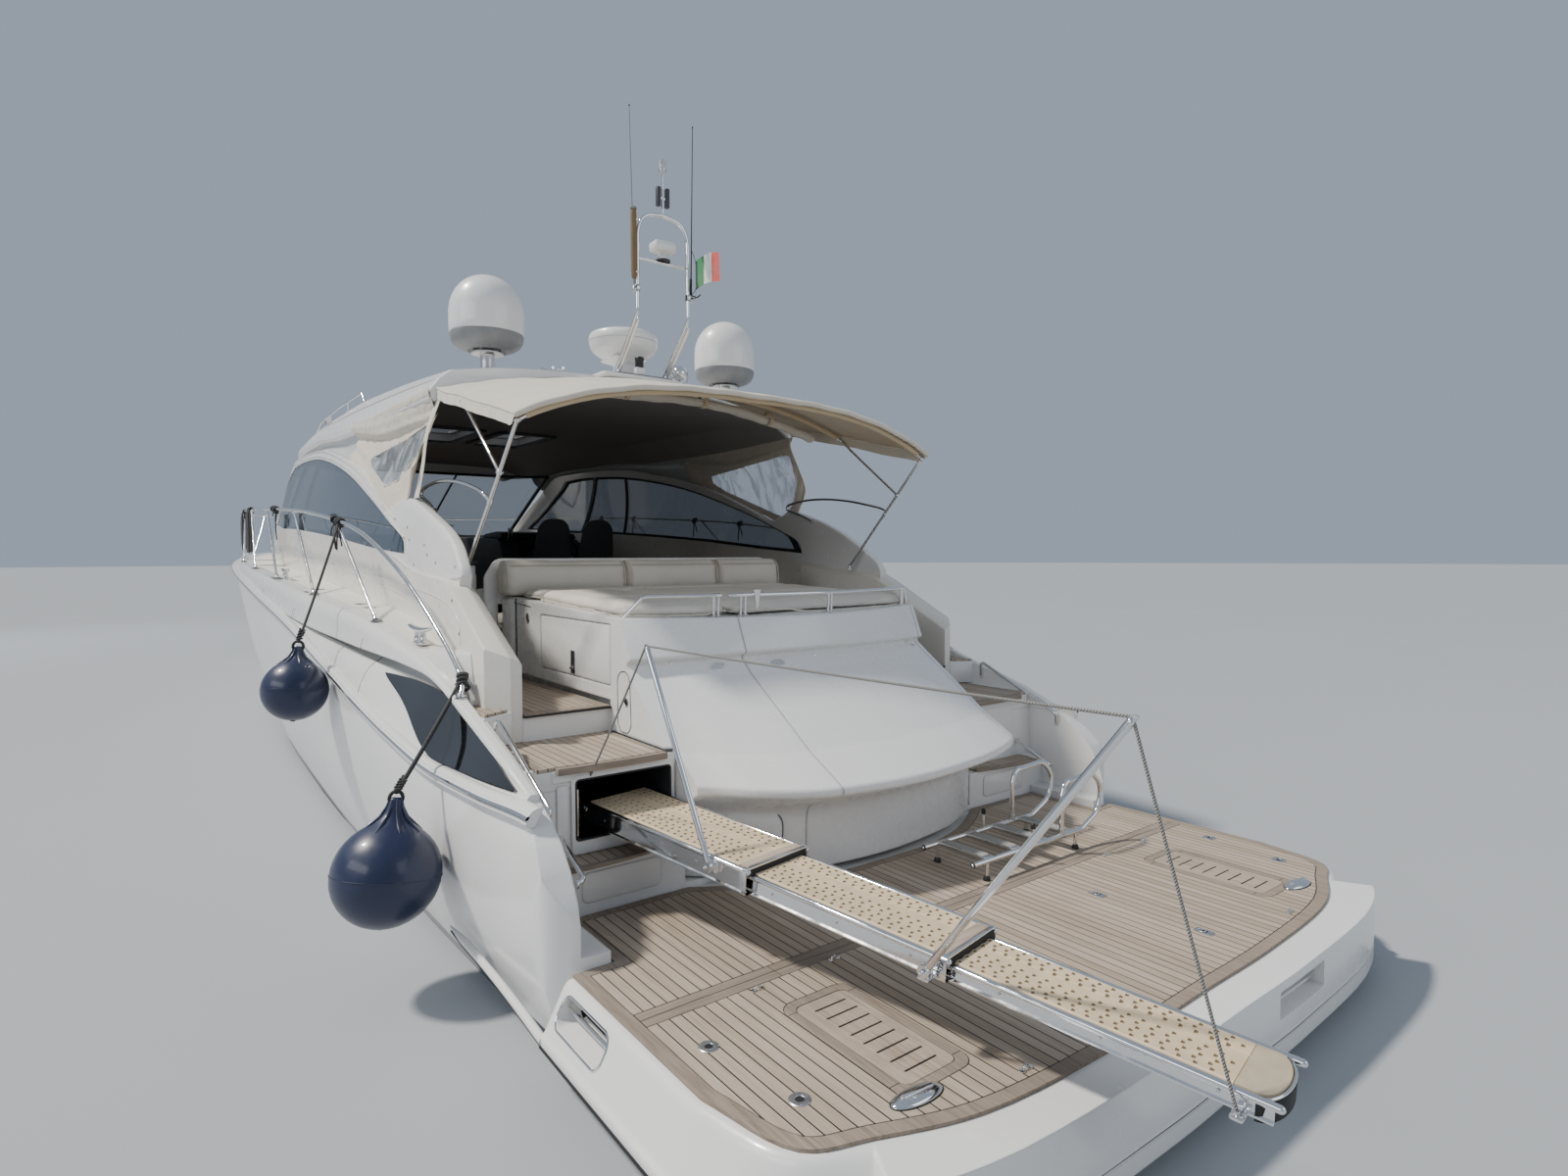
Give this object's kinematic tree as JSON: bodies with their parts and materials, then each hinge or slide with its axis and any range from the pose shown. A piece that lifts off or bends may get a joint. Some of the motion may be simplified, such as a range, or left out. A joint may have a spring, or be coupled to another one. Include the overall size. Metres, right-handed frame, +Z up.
{
  "type": "hardtop motor yacht with passerelle",
  "caption": "Planing motor yacht with hollow cockpit and saloon, stern garage with lifting lid, telescopic boarding gangway, bathing platform, canvas bimini and roof mast.",
  "frame": {"origin": "on the waterline, on the centreline, amidships", "axes": "+X forward to the bow, +Y to port, +Z up"},
  "size_m": [20.936, 5.454, 7.2001],
  "materials": {
    "gelcoat": "warm white glossy gelcoat",
    "hull_gelcoat": "warm white gelcoat with dark antifouling below the waterline",
    "teak": "bleached teak planks with black caulking",
    "cabin_sole": "satin varnished boards",
    "cushion_vinyl": "matt cream upholstery vinyl",
    "canvas": "cream acrylic canvas",
    "flag_cloth": "light polyester cloth in three colour bands",
    "stainless": "polished stainless steel",
    "galvanised": "galvanised steel",
    "tinted_glass": "tinted blue-grey glass",
    "radome": "white radome with a grey base band",
    "dark_plastic": "dark grey moulding",
    "dark_leather": "dark upholstery",
    "bronze": "cast manganese bronze",
    "engine_paint": "grey engine paint",
    "fender_pvc": "navy PVC"
  },
  "bodies": {
    "yacht": {"hull": "hull_gelcoat", "deck_moulding": "gelcoat", "rub_rail_port": "gelcoat", "rub_rail_starboard": "gelcoat", "swim_platform": "gelcoat", "platform_teak": "teak", "transom_moulding": "gelcoat", "sunpad_cushion_fixed": "cushion_vinyl", "backrest_bolster": "cushion_vinyl", "cockpit_sofa": "cushion_vinyl", "cockpit_sole": "teak", "saloon_floor": "cabin_sole", "stair_teak_port": "teak", "stair_teak_starboard": "teak", "wetbar_unit": "gelcoat", "passerelle_housing": "dark_plastic", "bathing_ladder": "stainless", "deckhouse": "gelcoat", "side_window_port": "tinted_glass", "side_window_starboard": "tinted_glass", "windscreen": "tinted_glass", "hardtop": "gelcoat", "side_curtain_port": "canvas", "side_curtain_starboard": "canvas", "bimini_canopy": "canvas", "bimini_frame": "stainless", "satellite_dome_port": "radome", "satellite_dome_starboard": "radome", "radar_dome": "radome", "mast_frame": "stainless", "courtesy_flag": "flag_cloth", "guard_rail_port": "stainless", "guard_rail_starboard": "stainless", "anchor": "galvanised", "helm_console": "dark_plastic", "helm_seat_port": "dark_leather", "helm_seat_starboard": "dark_leather", "dinette_sofa": "cushion_vinyl", "shaft_port": "bronze", "shaft_starboard": "bronze", "engine_port": "engine_paint", "engine_starboard": "engine_paint", "fender_forward": "fender_pvc", "fender_aft": "fender_pvc"},
    "garage_lid": {"garage_lid": "gelcoat", "sunpad_cushion_lid": "cushion_vinyl"},
    "locker_door": {"locker_door": "gelcoat"},
    "foredeck_hatch": {"foredeck_hatch": "tinted_glass"},
    "passerelle_knuckle": {"passerelle_knuckle": "stainless"},
    "passerelle_stage_1": {"passerelle_stage_1": "stainless"},
    "passerelle_stage_2": {"passerelle_stage_2": "stainless"},
    "passerelle_stage_3": {"passerelle_stage_3": "stainless"},
    "steering_wheel": {"steering_wheel": "dark_leather"},
    "rudder_port": {"rudder_port": "bronze"},
    "rudder_starboard": {"rudder_starboard": "bronze"},
    "propeller_port": {"propeller_port": "bronze"},
    "propeller_starboard": {"propeller_starboard": "bronze"}
  },
  "joints": [
    {"name": "garage_lid_hinge", "type": "hinge", "parent": "yacht", "child": "garage_lid", "pos_m": [-5.652, 0, 2.035], "axis": [0, 1, 0], "range_deg": [0, 35]},
    {"name": "locker_door_hinge", "type": "hinge", "parent": "yacht", "child": "locker_door", "pos_m": [-6.375, 1.249, 1.858], "axis": [1, 0, 0], "range_deg": [0, 80]},
    {"name": "foredeck_hatch_hinge", "type": "hinge", "parent": "yacht", "child": "foredeck_hatch", "pos_m": [5.356, 0, 2.6], "axis": [0, -1, 0], "range_deg": [0, 75]},
    {"name": "passerelle_slew", "type": "hinge", "parent": "yacht", "child": "passerelle_knuckle", "pos_m": [-7.42, 1.47, 0.96], "axis": [0, 0, 1], "range_deg": [-10.5, 0]},
    {"name": "passerelle_tilt", "type": "hinge", "parent": "passerelle_knuckle", "child": "passerelle_stage_1", "pos_m": [-7.41156, 1.47156, 0.91542], "axis": [-0.1822, 0.9833, 0], "range_deg": [-3.3, 15]},
    {"name": "passerelle_slide_2", "type": "slide", "parent": "passerelle_stage_1", "child": "passerelle_stage_2", "axis": [-0.9816, -0.1819, -0.0576], "range_m": [-0.79, 0]},
    {"name": "passerelle_slide_3", "type": "slide", "parent": "passerelle_stage_2", "child": "passerelle_stage_3", "axis": [-0.9816, -0.1819, -0.0576], "range_m": [-0.79, 0]},
    {"name": "steering_wheel_turn", "type": "hinge", "parent": "yacht", "child": "steering_wheel", "pos_m": [-0.29, -1.27, 2.33], "axis": [0.9004, 0, 0.435], "range_deg": [-540, 540]},
    {"name": "rudder_port_turn", "type": "hinge", "parent": "yacht", "child": "rudder_port", "pos_m": [-8.72, 0.85, -0.6], "axis": [0, 0, 1], "range_deg": [-35, 35]},
    {"name": "rudder_starboard_turn", "type": "hinge", "parent": "yacht", "child": "rudder_starboard", "pos_m": [-8.72, -0.85, -0.6], "axis": [0, 0, 1], "range_deg": [-35, 35]},
    {"name": "propeller_port_spin", "type": "hinge", "parent": "yacht", "child": "propeller_port", "pos_m": [-8.06, 0.85, -0.8395], "axis": [0.9877, 0, 0.1564], "continuous": true},
    {"name": "propeller_starboard_spin", "type": "hinge", "parent": "yacht", "child": "propeller_starboard", "pos_m": [-8.06, -0.85, -0.8395], "axis": [0.9877, 0, 0.1564], "continuous": true}
  ],
  "couplings": [
    {"joint": "steering_wheel_turn", "follows": "rudder_port_turn", "ratio": 15.429},
    {"joint": "rudder_starboard_turn", "follows": "rudder_port_turn", "ratio": 1}
  ]
}
